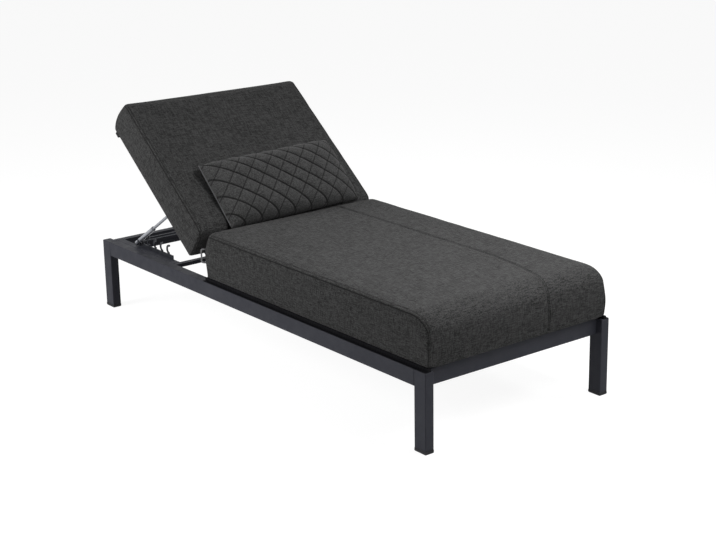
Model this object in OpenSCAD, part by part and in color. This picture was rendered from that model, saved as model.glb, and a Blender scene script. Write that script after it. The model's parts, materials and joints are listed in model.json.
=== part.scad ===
// Adjustable lounger: powder coated aluminium frame, slatted seat deck, hinged backrest on a
// prop stay with two notched racks, box cushions and a quilted lumbar pillow.
// Origin on the floor under the middle of the frame, +Z up, head end towards +Y. Left and
// right are those of a person who lies on it, so left is +X.

/* [Frame] */
// Length over the legs
frame_l = 2000; // [1800:10:2200]
// Width over the legs
frame_w = 820; // [760:10:900]
// Height of the rails' top
frame_h = 276; // [240:2:320]
// Leg section along the lounger
leg_l = 55; // [45:1:65]
// Leg section across the lounger
leg_w = 35; // [30:1:39]
// Height of the rails
rail_h = 56; // [50:1:64]
// Width of a side rail
side_rail_w = 40; // [40:1:46]
// Thickness of the foot and head rails
end_rail_w = 30; // [24:1:36]
// Wall of the frame tubes
tube_wall = 2; // [1.5:0.1:3]
// Height of a leg's plastic glide below the tube
glide_h = 12; // [8:1:16]

/* [Seat deck] */
// Width of a seat slat
slat_w = 60; // [40:1:70]
// Thickness of a seat slat
seat_slat_t = 11.5; // [10:0.5:16]
// Length of slat that lies on each side rail
slat_bearing = 15; // [12:1:20]

/* [Backrest frame] */
// Distance of the hinge axis from the head end
hinge_from_head = 698; // [680:1:710]
// Tilt of the backrest in the lowest rack notch, in degrees
back_angle = 37.4; // [35:0.2:40]
// Length of the backrest frame
back_frame_l = 665; // [620:5:690]
// Gap between a rack and the backrest's side tube
back_side_gap = 17; // [14:1:24]
// Width of a backrest side tube
back_tube_w = 30; // [26:1:34]
// Thickness of the backrest's tubes and slats
slat_t = 16; // [14:1:18]
// Width of a backrest slat
back_slat_w = 50; // [40:1:60]

/* [Racks and stay] */
// Number of notches in each rack
notches = 5; // [3:1:5]
// Distance from notch to notch
notch_pitch = 48; // [47:0.5:50]
// Distance of the lowest notch's centre from the head end
notch_from_head = 200.5; // [196:0.5:206]
// Height of the notch centres above the rails' top
notch_rise = 31; // [29:0.5:34]
// Inner radius of a hook
hook_inner = 12; // [11:0.5:13]
// Outer radius of a hook
hook_outer = 19.5; // [18:0.5:20]
// Thickness of a rack plate
rack_t = 4; // [3:0.5:5]
// Height of a rack's strip below its hooks
strip_h = 33; // [28:1:38]
// Diameter of the stay's legs and of its cross rod
rod_d = 12; // [10:0.5:12.5]
// Diameter of the sleeves on the stay's legs
sleeve_d = 18; // [16:0.5:20]
// Length of sleeve above the cross rod
sleeve_l = 131; // [100:1:150]
// Length of sleeve past the cross rod
sleeve_tail = 30; // [20:1:32]
// Distance of the stay's pivot from the hinge axis
stay_pivot_l = 309.4; // [300:0.2:318]

/* [Cushions] */
// Gap from the frame's side to the cushions' side
cushion_side_gap = 12; // [10:1:40]
// Height of the seat cushion inside its shoulders
seat_cushion_t = 175; // [140:1:185]
// Length of the back cushion
back_cushion_l = 672; // [600:4:690]
// Thickness of the back cushion inside its shoulders
back_cushion_t = 150; // [125:1:156]
// Turn of the loose back cushion on the backrest, in degrees
back_cushion_turn = -0.85; // [-1:0.05:1]
// Rise of the seat cushion's top in its middle
seat_crown = 2; // [0:0.5:6]
// Rise of the back cushion's face in its middle
back_crown = 1; // [0:0.5:3]
// Swell of a cushion's sides between its seams
side_swell = 5; // [0:0.5:8]
// Drop from the seat cushion's top to its side seams
seat_shoulder = 22; // [8:1:30]
// Drop from the back cushion's face to its side seams
back_shoulder = 16; // [8:1:30]
// Reach of a cushion's shoulders over its top
shoulder_reach = 42; // [36:1:60]
// Drop of the seat cushion's foot end down to its upright front
waterfall_drop = 62; // [20:1:80]
// Reach of that drop along the seat cushion
waterfall_reach = 83; // [30:1:110]
// Radius of a cushion's lower edges
edge_r = 10; // [6:1:14]
// Length of the pillow
pillow_l = 600; // [500:1:640]
// Height of the pillow
pillow_h = 284; // [240:1:300]
// Swell of the pillow's front
pillow_front = 72; // [40:1:80]
// Depth of the pillow's quilting
quilt_depth = 6; // [0:0.5:9]

/* [Hidden] */
$fn = 48;

// Colours of the real finishes
coat_colour = [0.20, 0.20, 0.22];
steel_colour = [0.55, 0.56, 0.58];
plastic_colour = [0.10, 0.10, 0.11];
fabric_colour = [0.22, 0.22, 0.23];
pillow_colour = [0.27, 0.27, 0.28];

// Overrun of every cut
cut = 1;
// Gap between faces that pass or rest on each other on different bodies
rest_gap = 0.3;
// Radial clearance of a pin in its bore, and of a screw in its hole
pin_gap = 0.1;

// The head and foot ends of the frame
head_y = frame_l / 2;
foot_y = -frame_l / 2;

// Legs and rails
leg_x = frame_w / 2 - leg_w / 2;
leg_y = frame_l / 2 - leg_l / 2;
leg_inner_y = frame_l / 2 - leg_l;
leg_inner_x = frame_w / 2 - leg_w;
rail_inner_x = frame_w / 2 - side_rail_w;
rail_z = frame_h - rail_h;
end_rail_y = leg_inner_y + end_rail_w / 2;
glide_edge = 2;
glide_plug = 14;
glide_gap = 0.2;
groove_h = 6;
groove_deep = 1.2;
groove_drop = 35;

// Width of the carriers that hold the racks, along the inner faces of the side rails
carrier_w = 29;

// Bars across the frame
cross_bar_from_head = 482.5;
cross_bar_y = head_y - cross_bar_from_head;
cross_bar_w = 25;
cross_bar_t = 14;
hinge_y = head_y - hinge_from_head;
hinge_offset = 10;
hinge_bar_w = 30;
hinge_bar_t = 30;
hinge_bar_head_y = hinge_y - hinge_offset;
hinge_bar_y = hinge_bar_head_y - hinge_bar_w / 2;

// Hinge: the axis runs through the middle of the backrest tubes where they lie on the frame
hinge_z = frame_h + slat_t / 2;
rack_x = frame_w / 2 - side_rail_w - carrier_w;
back_frame_w = 2 * (rack_x - rack_t - back_side_gap);
back_tube_x = back_frame_w / 2 - back_tube_w / 2;
hinge_end = 9;
bolt_d = 8;
bush_d = 12;
flange_t = 1;
flange_d = 15;
lug_t = 5;
lug_r = 11;
lug_foot = 22;
lug_gap = flange_t + rest_gap;
lug_inner_x = back_frame_w / 2 - back_tube_w - lug_gap - lug_t;
lug_outer_x = back_frame_w / 2 + lug_gap;
bolt_head_d = 13;
bolt_head_t = 5;
nut_d = 13;
nut_t = 6.5;
bolt_past_nut = 2;

// Seat deck
deck_z = frame_h + seat_slat_t;
slat_l = 2 * (rail_inner_x + slat_bearing);
slat_wall = 1.6;
seat_slats = 7;
slat_end_gap = 5;
first_slat_y = foot_y + leg_l + slat_w / 2 + slat_end_gap;
last_slat_y = hinge_bar_y - hinge_bar_w / 2 - slat_w / 2 - slat_end_gap;
slat_step = (last_slat_y - first_slat_y) / (seat_slats - 1);
screw_d = 5;
screw_head_d = 9;
screw_head_t = 3;
screw_reach = 10;
screw_x = rail_inner_x + slat_bearing / 2;

// Strips that close the slats' ends, with a flange out to the rails' edge
strip_gap = 0.2;
strip_inset = 2;
strip_margin = 1;
strip_flange_t = 1.5;

// Racks
carrier_h = 25;
carrier_x = rail_inner_x - carrier_w / 2;
carrier_foot_y = cross_bar_y + cross_bar_w / 2;
carrier_l = leg_inner_y - carrier_foot_y;
notch_y = head_y - notch_from_head;
notch_z = frame_h + notch_rise;
hook_sink = 1.5;
strip_top = notch_z - hook_outer + hook_sink;
strip_foot_end = 27;
strip_head_end = 36;
strip_foot_y = notch_y - (notches - 1) * notch_pitch - strip_foot_end;
strip_head_y = notch_y + strip_head_end;
hook_bottom_angle = -90;
hook_tip_angle = 100;
hook_fn = 64;
hook_tip_share = 0.8;
rack_screw_z = frame_h - carrier_h / 2;
rack_screw_inset = 20;
rack_screw_count = 3;

// Stay: it rests in the lowest notch, pressed against the hook along its own legs
seat_depth = hook_inner - rod_d / 2 - rest_gap;
function on_back(u, w) = [hinge_y + u * cos(back_angle) - w * sin(back_angle),
                          hinge_z + u * sin(back_angle) + w * cos(back_angle)];
stay_pivot = on_back(stay_pivot_l, 0);
lean_to_notch = atan2(notch_z - stay_pivot[1], notch_y - stay_pivot[0]);
rod_at = [notch_y + seat_depth * cos(lean_to_notch), notch_z + seat_depth * sin(lean_to_notch)];
stay_l = norm(rod_at - stay_pivot);
stay_angle = atan2(rod_at[1] - stay_pivot[1], rod_at[0] - stay_pivot[0]);
sleeve_off_rack = 2;
stay_x = rack_x + sleeve_off_rack + sleeve_d / 2;
eye_d = 15.6;
eye_t = 10;
plug_cap = 3;
plug_reach = 12;
leg_in_sleeve = 9;
spacer_d = 14;

// Backrest slats lie between the foot tube and the head tube, evenly on each side of the
// stay's bolts, which come between two slats
slats_below_bolt = 2;
slats_above_bolt = 3;
back_foot_u = 25;
back_inner_w = back_frame_w - 2 * back_tube_w;
back_head_u = back_frame_l - back_tube_w;
half_pitch = 0.5;
step_below = (stay_pivot_l - back_foot_u - back_tube_w / 2) / (slats_below_bolt + half_pitch);
step_above = (back_head_u + back_tube_w / 2 - stay_pivot_l) / (slats_above_bolt + half_pitch);
tube_cap_t = 2;
tube_cap_reach = 10;

// Cushions: the seat cushion reaches from the foot end to just short of the hinge
cushion_w = frame_w - 2 * cushion_side_gap;
seat_cushion_gap = 36;
seat_cushion_head = hinge_y - seat_cushion_gap;
seat_cushion_foot = foot_y + rest_gap;
seat_cushion_l = seat_cushion_head - seat_cushion_foot;
head_corner_r = 38;
foot_corner_r = 14;
back_cushion_u = 76.5;
back_cushion_w = slat_t / 2 + rest_gap;
tab_w = 40;
tab_l = 22;
tab_t = 9;
tab_inset = 24;

// Places of the points over a cushion: round an edge as shares of its radius, and between
// the edges as shares of half the width or length
edge_shares = [0, 0.049, 0.191, 0.412, 0.691, 1];
plain_shares = [-0.72, -0.36, 0, 0.36, 0.72];
seam_side_shares = [-0.72, -0.36, 0];
seam_far_shares = [0.68];
wall_shares = [0.25, 0.5, 0.75];

// The sewn channel along the seat cushion
seam_x = 0.32 * cushion_w / 2;
seam_half_w = 8;
seam_depth = 3;

// Pillow: it stands in the crease and leans on the back cushion
pillow_x = 27;
pillow_lean = 7.4;
pillow_roll = 1;
pillow_rim = 6;
pillow_draw = 9;
pillow_settle = 2.2;
pillow_foot_u = back_cushion_u;
pillow_foot_w = back_cushion_w + back_cushion_t + pillow_rim / 2 + rest_gap - pillow_settle;
pillow_rear = 22;
diamonds_long = 8;
diamonds_high = 4;
// Steps of the lattice from the middle of a diamond to the stitches, and how far each is sunk
quilt_steps = 2;
sunk_shares = [1, 0.3, 0];

// A closed box tube along Y with square ends, open inside, centred on X and Z
module tube_y(w, h, l, wall) {
    difference() {
        cube([w, l, h], center = true);
        cube([w - 2 * wall, l + 2 * cut, h - 2 * wall], center = true);
    }
}

// The same tube along X
module tube_x(l, w, h, wall) {
    rotate([0, 0, 90]) tube_y(w, h, l, wall);
}

// A round bar along X from x to x + l
module bar_x(x, l, d) {
    translate([x, 0, 0]) rotate([0, 90, 0]) cylinder(d = d, h = l);
}

// What follows in the backrest's own frame: Y up the backrest, Z out of its face
module on_backrest() {
    translate([0, hinge_y, hinge_z]) rotate([back_angle, 0, 0]) children();
}

// What follows in the stay's own frame: Y down its legs from the pivot
module on_stay() {
    translate([0, stay_pivot[0], stay_pivot[1]]) rotate([stay_angle, 0, 0]) children();
}

// Both sides, the first one at +X
module both_sides() {
    children();
    mirror([1, 0, 0]) children();
}

module leg(sx, sy) {
    color(coat_colour)
    translate([sx * leg_x, sy * leg_y, 0])
    difference() {
        translate([-leg_w / 2, -leg_l / 2, glide_h]) cube([leg_w, leg_l, frame_h - glide_h]);
        translate([tube_wall - leg_w / 2, tube_wall - leg_l / 2, glide_h - cut])
            cube([leg_w - 2 * tube_wall, leg_l - 2 * tube_wall,
                  frame_h - glide_h - tube_wall + cut]);
    }
}

// A glide closes each leg: a plug in the tube and a rim as wide as the leg
module leg_glides() {
    plug_w = leg_w - 2 * tube_wall - 2 * glide_gap;
    plug_l = leg_l - 2 * tube_wall - 2 * glide_gap;
    color(plastic_colour)
    for (sx = [-1, 1], sy = [-1, 1])
        translate([sx * leg_x, sy * leg_y, 0]) {
            translate([-leg_w / 2, -leg_l / 2, glide_edge])
                cube([leg_w, leg_l, glide_h - glide_edge]);
            translate([glide_edge - leg_w / 2, glide_edge - leg_l / 2, 0])
                cube([leg_w - 2 * glide_edge, leg_l - 2 * glide_edge, glide_edge + cut]);
            translate([-plug_w / 2, -plug_l / 2, glide_h - cut])
                cube([plug_w, plug_l, glide_plug + cut]);
        }
}

function slat_y(i) = first_slat_y + i * slat_step;

module side_rail(sx) {
    color(coat_colour)
    difference() {
        translate([sx * (frame_w / 2 - side_rail_w / 2), 0, rail_z + rail_h / 2])
            tube_y(side_rail_w, rail_h, 2 * leg_inner_y, tube_wall);
        for (i = [0 : seat_slats - 1])
            translate([sx * screw_x, slat_y(i), frame_h - tube_wall - cut])
                cylinder(d = screw_d + 2 * pin_gap, h = tube_wall + 2 * cut);
    }
}

// The end rails are one profile, with a groove along the inner face
module end_rail(sy) {
    color(coat_colour)
    translate([0, sy * end_rail_y, rail_z + rail_h / 2])
    difference() {
        tube_x(2 * leg_inner_x, end_rail_w, rail_h, tube_wall);
        translate([-leg_inner_x - cut, -sy * end_rail_w / 2 - groove_deep,
                   rail_h / 2 - groove_drop - groove_h])
            cube([2 * leg_inner_x + 2 * cut, 2 * groove_deep, groove_h]);
    }
}

module cross_bar() {
    color(coat_colour)
    translate([0, cross_bar_y, frame_h - cross_bar_t / 2])
        tube_x(2 * rail_inner_x, cross_bar_w, cross_bar_t, tube_wall);
}

module hinge_bar() {
    color(coat_colour)
    translate([0, hinge_bar_y, frame_h - hinge_bar_t / 2])
        tube_x(2 * rail_inner_x, hinge_bar_w, hinge_bar_t, tube_wall);
}

function rack_screw_y(i) = strip_foot_y + rack_screw_inset
    + i * (strip_head_y - strip_foot_y - 2 * rack_screw_inset) / (rack_screw_count - 1);

module rack_carrier(sx) {
    color(coat_colour)
    difference() {
        translate([sx * carrier_x, carrier_foot_y + carrier_l / 2, frame_h - carrier_h / 2])
            tube_y(carrier_w, carrier_h, carrier_l, tube_wall);
        for (i = [0 : rack_screw_count - 1])
            translate([sx * rack_x, rack_screw_y(i), rack_screw_z])
                bar_x(-tube_wall - cut, 2 * (tube_wall + cut), screw_d + 2 * pin_gap);
    }
}

// One hook in outline: an arc that opens towards the foot end, with a round tip
module hook() {
    wide = 2 * hook_outer;
    tip_r = (hook_outer + hook_inner) / 2;
    difference() {
        circle(r = hook_outer, $fn = hook_fn);
        circle(r = hook_inner, $fn = hook_fn);
        polygon([[0, 0], [wide * cos(hook_tip_angle), wide * sin(hook_tip_angle)],
                 [-wide, wide], [-wide, -wide], [0, -wide]]);
    }
    translate([tip_r * cos(hook_tip_angle), tip_r * sin(hook_tip_angle)])
        circle(d = hook_tip_share * (hook_outer - hook_inner), $fn = hook_fn / 2);
}

module rack(sx) {
    color(steel_colour)
    difference() {
        translate([sx > 0 ? rack_x - rack_t : -rack_x, 0, 0])
        rotate([90, 0, 90])
        linear_extrude(rack_t) {
            translate([strip_foot_y, strip_top - strip_h])
                square([strip_head_y - strip_foot_y, strip_h]);
            for (i = [0 : notches - 1])
                translate([notch_y - i * notch_pitch, notch_z]) hook();
        }
        for (i = [0 : rack_screw_count - 1])
            translate([sx * (rack_x - rack_t / 2), rack_screw_y(i), rack_screw_z])
                bar_x(-rack_t / 2 - cut, rack_t + 2 * cut, screw_d + 2 * pin_gap);
    }
}

module rack_screws() {
    color(steel_colour)
    both_sides()
        for (i = [0 : rack_screw_count - 1])
            translate([rack_x - rack_t, rack_screw_y(i), rack_screw_z]) {
                bar_x(-screw_head_t, screw_head_t, screw_head_d);
                bar_x(-cut, rack_t + screw_reach + cut, screw_d);
            }
}

// A lug is a plate on the head side of the hinge bar, round over the bolt
module lug(x) {
    translate([x, hinge_y, hinge_z])
    difference() {
        union() {
            bar_x(0, lug_t, 2 * lug_r);
            translate([0, hinge_bar_head_y - hinge_y, -lug_foot])
                cube([lug_t, lug_r + hinge_y - hinge_bar_head_y, lug_foot]);
        }
        bar_x(-cut, lug_t + 2 * cut, bolt_d + 2 * pin_gap);
    }
}

module hinge_lugs(sx) {
    color(coat_colour)
    mirror([sx > 0 ? 0 : 1, 0, 0]) {
        lug(lug_inner_x);
        lug(lug_outer_x);
    }
}

module hinge_bolts() {
    color(steel_colour)
    both_sides()
    translate([0, hinge_y, hinge_z]) {
        bar_x(lug_outer_x + lug_t, bolt_head_t, bolt_head_d);
        bar_x(lug_inner_x - nut_t - bolt_past_nut,
              lug_outer_x + lug_t - lug_inner_x + nut_t + bolt_past_nut + cut, bolt_d);
    }
}

// A hexagon nut against the face at x, on its inner side
module nut(x) {
    translate([x - nut_t, 0, 0]) rotate([0, 90, 0])
    difference() {
        cylinder(d = nut_d / cos(30), h = nut_t, $fn = 6);
        translate([0, 0, -cut]) cylinder(d = bolt_d + 2 * pin_gap, h = nut_t + 2 * cut);
    }
}

module hinge_nuts() {
    color(steel_colour)
    both_sides() translate([0, hinge_y, hinge_z]) nut(lug_inner_x);
}

module seat_slat(n) {
    i = n - 1;
    color(coat_colour)
    translate([0, slat_y(i), deck_z - seat_slat_t / 2])
    difference() {
        tube_x(slat_l, slat_w, seat_slat_t, slat_wall);
        both_sides() {
            translate([screw_x, 0, seat_slat_t / 2 - slat_wall - cut])
                cylinder(d = screw_head_d + 2 * pin_gap, h = slat_wall + 2 * cut);
            translate([screw_x, 0, -seat_slat_t / 2 - cut])
                cylinder(d = screw_d + 2 * pin_gap, h = slat_wall + 2 * cut);
        }
    }
}

// Each slat is held to the rails by a screw through its lower wall
module slat_screws() {
    color(steel_colour)
    both_sides()
        for (i = [0 : seat_slats - 1])
            translate([screw_x, slat_y(i), frame_h + slat_wall]) {
                cylinder(d = screw_head_d, h = screw_head_t);
                translate([0, 0, -slat_wall - screw_reach])
                    cylinder(d = screw_d, h = slat_wall + screw_reach + cut);
            }
}

// An angle along the rail: it closes the slats' ends, and its flange covers the rail's top
module slat_strip(sx) {
    strip_x = rail_inner_x + slat_bearing + strip_gap;
    strip_outer_x = cushion_w / 2 - strip_inset;
    strip_start = foot_y + strip_margin;
    strip_l = seat_cushion_head - strip_start;
    color(plastic_colour)
    mirror([sx > 0 ? 0 : 1, 0, 0])
    translate([strip_x, strip_start, frame_h]) {
        cube([strip_outer_x - strip_x, strip_l, seat_slat_t]);
        cube([frame_w / 2 - strip_margin - strip_x, strip_l, strip_flange_t]);
    }
}

module back_tube(sx) {
    color(coat_colour)
    on_backrest()
    translate([sx * back_tube_x, 0, 0])
    difference() {
        translate([0, (back_frame_l - hinge_end) / 2, 0])
            tube_y(back_tube_w, slat_t, back_frame_l + hinge_end, slat_wall);
        bar_x(-back_tube_w, 2 * back_tube_w, bush_d + 2 * pin_gap);
        translate([0, stay_pivot_l, 0])
            bar_x(-back_tube_w, 2 * back_tube_w, bolt_d + 2 * pin_gap);
    }
}

module back_head_tube() {
    color(coat_colour)
    on_backrest()
    translate([0, back_head_u + back_tube_w / 2, 0])
        tube_x(back_inner_w, back_tube_w, slat_t, slat_wall);
}

module back_foot_tube() {
    color(coat_colour)
    on_backrest()
    translate([0, back_foot_u + back_tube_w / 2, 0])
        tube_x(back_inner_w, back_tube_w, slat_t, slat_wall);
}

module back_slat(n) {
    place = n - slats_below_bolt - half_pitch;
    u = stay_pivot_l + place * (place < 0 ? step_below : step_above);
    color(coat_colour)
    on_backrest()
    translate([0, u, 0]) tube_x(back_inner_w, back_slat_w, slat_t, slat_wall);
}

module back_tube_caps() {
    cap_w = back_tube_w - 2 * slat_wall - 2 * pin_gap;
    cap_h = slat_t - 2 * slat_wall - 2 * pin_gap;
    color(plastic_colour)
    on_backrest()
    both_sides()
    translate([back_tube_x, back_frame_l, 0]) {
        translate([-back_tube_w / 2, 0, -slat_t / 2])
            cube([back_tube_w, tube_cap_t, slat_t]);
        translate([-cap_w / 2, -tube_cap_reach, -cap_h / 2])
            cube([cap_w, tube_cap_reach + tube_cap_t / 2, cap_h]);
    }
}

module hinge_bushes() {
    color(plastic_colour)
    on_backrest()
    both_sides()
    translate([back_tube_x, 0, 0])
    difference() {
        union() {
            bar_x(-back_tube_w / 2, back_tube_w, bush_d);
            bar_x(back_tube_w / 2, flange_t, flange_d);
            bar_x(-back_tube_w / 2 - flange_t, flange_t, flange_d);
        }
        bar_x(-back_tube_w, 2 * back_tube_w, bolt_d + 2 * pin_gap);
    }
}

module stay_bolts() {
    tube_inner_x = back_frame_w / 2 - back_tube_w;
    head_x = stay_x + eye_t / 2 + rest_gap;
    color(steel_colour)
    on_backrest()
    translate([0, stay_pivot_l, 0])
    both_sides() {
        bar_x(head_x, bolt_head_t, bolt_head_d);
        bar_x(tube_inner_x - nut_t - bolt_past_nut,
              head_x + cut - tube_inner_x + nut_t + bolt_past_nut, bolt_d);
    }
}

module stay_spacers() {
    spacer_l = stay_x - eye_t / 2 - rest_gap - back_frame_w / 2;
    color(steel_colour)
    on_backrest()
    translate([0, stay_pivot_l, 0])
    both_sides()
    difference() {
        bar_x(back_frame_w / 2, spacer_l, spacer_d);
        bar_x(back_frame_w / 2 - cut, spacer_l + 2 * cut, bolt_d + 2 * pin_gap);
    }
}

module stay_nuts() {
    color(steel_colour)
    on_backrest()
    translate([0, stay_pivot_l, 0])
    both_sides() nut(back_frame_w / 2 - back_tube_w);
}

// A leg is a round bar with an eye for the pivot bolt; its lower part sits in the sleeve
module stay_leg(sx) {
    leg_start = max(spacer_d, bolt_head_d) / 2 + rest_gap;
    color(steel_colour)
    on_stay()
    translate([sx * stay_x, 0, 0])
    difference() {
        union() {
            translate([0, leg_start, 0]) rotate([-90, 0, 0])
                cylinder(d = rod_d, h = stay_l - leg_start - leg_in_sleeve);
            bar_x(-eye_t / 2, eye_t, eye_d);
        }
        bar_x(-eye_t, 2 * eye_t, bolt_d + 2 * pin_gap);
    }
}

module stay_sleeve(sx) {
    bore = rod_d + 2 * pin_gap;
    color(steel_colour)
    on_stay()
    translate([sx * stay_x, stay_l - sleeve_l, 0])
    difference() {
        rotate([-90, 0, 0]) cylinder(d = sleeve_d, h = sleeve_l + sleeve_tail);
        translate([0, -cut, 0]) rotate([-90, 0, 0])
            cylinder(d = bore, h = sleeve_l + sleeve_tail + 2 * cut);
        translate([0, sleeve_l, 0]) bar_x(-sleeve_d, 2 * sleeve_d, bore);
    }
}

// The cross rod passes through both sleeves and lies in the notches of both racks
module stay_cross_rod() {
    half = stay_x + sleeve_d / 2 + cut;
    color(steel_colour)
    on_stay()
    translate([0, stay_l, 0]) bar_x(-half, 2 * half, rod_d);
}

module stay_plugs() {
    color(plastic_colour)
    on_stay()
    both_sides()
    translate([stay_x, stay_l + sleeve_tail, 0]) rotate([-90, 0, 0]) {
        cylinder(d = sleeve_d, h = plug_cap);
        translate([0, 0, -plug_reach]) cylinder(d = rod_d, h = plug_reach + cut);
    }
}

// How far the surface has dropped at a distance e inside an edge: a quarter ellipse
function edge_drop(e, reach, depth) =
    e >= reach ? 0 : depth * (1 - sqrt(1 - pow(1 - e / reach, 2)));

// Places across a cushion of half size h, with a shoulder at each end
function stations(h, reach_low, reach_high, mids) = concat(
    [for (s = edge_shares) -h + reach_low * s],
    mids,
    [for (i = [len(edge_shares) - 1 : -1 : 0]) h - reach_high * edge_shares[i]]);

// A point near a corner is drawn in to the corner's radius
function rounded(x, y, hx, hy) =
    let (r = y < 0 ? foot_corner_r : head_corner_r,
         dx = abs(x) - (hx - r), dy = abs(y) - (hy - r),
         k = dx <= 0 || dy <= 0 ? 1 : max(dx, dy) / norm([dx, dy]))
    k == 1 ? [x, y] : [sign(x) * (hx - r + dx * k), sign(y) * (hy - r + dy * k)];

// The indices round the rim of a grid, anticlockwise seen from above
function rim(nx, ny) = concat(
    [for (i = [0 : nx - 2]) i],
    [for (j = [0 : ny - 2]) j * nx + nx - 1],
    [for (i = [nx - 1 : -1 : 1]) (ny - 1) * nx + i],
    [for (j = [ny - 1 : -1 : 1]) j * nx]);

// Two triangles for each cell of a grid, facing up
function grid_faces(nx, ny) = [for (j = [0 : ny - 2], i = [0 : nx - 2])
    let (a = j * nx + i, b = a + 1, c = b + nx, d = a + nx)
    each [[a, c, b], [a, d, c]]];

// A box cushion on its underside: shoulders that drop to the seams, a crown over the top,
// sides that swell, and at seam a sewn channel over the top and down the foot end
module box_cushion(w, l, t, depth, crown, foot_reach, foot_depth, seam = undef) {
    hx = w / 2 - side_swell;
    hy = l / 2 - side_swell;
    room = hx - shoulder_reach;
    side_mids = is_undef(seam) ? room * plain_shares
        : concat(room * seam_side_shares, [seam - seam_half_w, seam, seam + seam_half_w],
                 room * seam_far_shares);
    xs = stations(hx, shoulder_reach, shoulder_reach, side_mids);
    ys = stations(hy, foot_reach, shoulder_reach, (hy - foot_reach) * plain_shares);
    nx = len(xs);
    ny = len(ys);
    under = [for (y = ys, x = xs)
        let (p = rounded(x, y, hx, hy))
        [p[0], p[1], max(edge_drop(hx - abs(x), edge_r, edge_r),
                         edge_drop(hy - abs(y), edge_r, edge_r))]];
    over = [for (y = ys, x = xs)
        let (p = rounded(x, y, hx, hy),
             foot_drop = edge_drop(hy + y, foot_reach, foot_depth),
             drop = edge_drop(hx - abs(x), shoulder_reach, depth)
                  + edge_drop(hy - y, shoulder_reach, depth) + foot_drop,
             sewn = x == seam ? seam_depth : 0, turn = foot_drop / foot_depth,
             rise = crown * (1 - pow(x / hx, 2)) * (1 - pow(y / hy, 4)))
        [p[0], p[1] + sewn * turn, t + rise - drop - sewn * (1 - turn)]];
    edge = rim(nx, ny);
    n = len(edge);
    walls = [for (s = wall_shares) for (k = edge)
        let (a = under[k], b = over[k], swell = side_swell * sin(180 * s),
             sx = a[0] / hx, sy = a[1] / hy)
        [a[0] + swell * sx * (1 - sy * sy),
         a[1] + (b[1] - a[1]) * s + swell * sy * (1 - sx * sx), a[2] + (b[2] - a[2]) * s]];
    over_start = len(under) + len(walls);
    loops = concat([edge], [for (m = [0 : len(wall_shares) - 1])
                       [for (k = [0 : n - 1]) len(under) + m * n + k]],
                   [[for (k = edge) over_start + k]]);
    sides = [for (m = [0 : len(loops) - 2], k = [0 : n - 1])
        let (a = loops[m][k], b = loops[m][(k + 1) % n],
             c = loops[m + 1][(k + 1) % n], d = loops[m + 1][k])
        each [[a, c, b], [a, d, c]]];
    up = grid_faces(nx, ny);
    polyhedron(concat(under, walls, over),
        concat([for (f = up) [f[0], f[2], f[1]]], sides, [for (f = up) f + [1, 1, 1] * over_start]));
}

module seat_cushion() {
    color(fabric_colour)
    translate([0, (seat_cushion_head + seat_cushion_foot) / 2, deck_z])
        box_cushion(cushion_w, seat_cushion_l, seat_cushion_t, seat_shoulder, seat_crown,
                    waterfall_reach, waterfall_drop, seam_x);
}

// What follows in the back cushion's own frame, from the middle of its underside
module on_back_cushion() {
    on_backrest()
    translate([0, back_cushion_u + back_cushion_l / 2, back_cushion_w])
    rotate([0, 0, back_cushion_turn]) children();
}

module back_cushion() {
    color(fabric_colour)
    on_back_cushion()
        box_cushion(cushion_w, back_cushion_l, back_cushion_t, back_shoulder, back_crown,
                    shoulder_reach, back_shoulder);
}

// Webbing tabs at the head end of the back cushion's underside, one at each side
module back_cushion_tabs() {
    color(plastic_colour)
    on_back_cushion()
    both_sides()
    translate([cushion_w / 2 - tab_w - side_swell,
               back_cushion_l / 2 - tab_inset - tab_l, -tab_t])
        cube([tab_w, tab_l, tab_t]);
}

// Steps of the lattice from a diagonal to the nearest line of stitches
function to_stitch(k) = abs(k % (2 * quilt_steps) - quilt_steps);

// Quilted pillow: a lattice of diamonds over each face, low along the stitches. Its rear is
// flat at the foot, where it leans on the cushion, and swells towards the top
function pillow_point(i, j, nu, nv, swell, side) =
    let (u = 2 * i / nu - 1, v = 2 * j / nv - 1,
         full = pow(max(0, (1 - pow(u, 4)) * (1 - pow(v, 4))), 0.5),
         sunk = sunk_shares[min(to_stitch(i + j + quilt_steps),
                                to_stitch(i - j + 2 * quilt_steps * nv))],
         inside = min(1, 3 * full),
         share = side > 0 ? 1 : (1 + v) / 2,
         quilt = quilt_depth * sunk * inside * share * swell / pillow_front,
         t = pillow_rim / 2 + swell * share * full - quilt)
    [u * (pillow_l / 2 - pillow_draw * (1 - v * v)),
     v * (pillow_h / 2 - pillow_draw * max(0, v) * (1 - u * u)), side * t];

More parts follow.
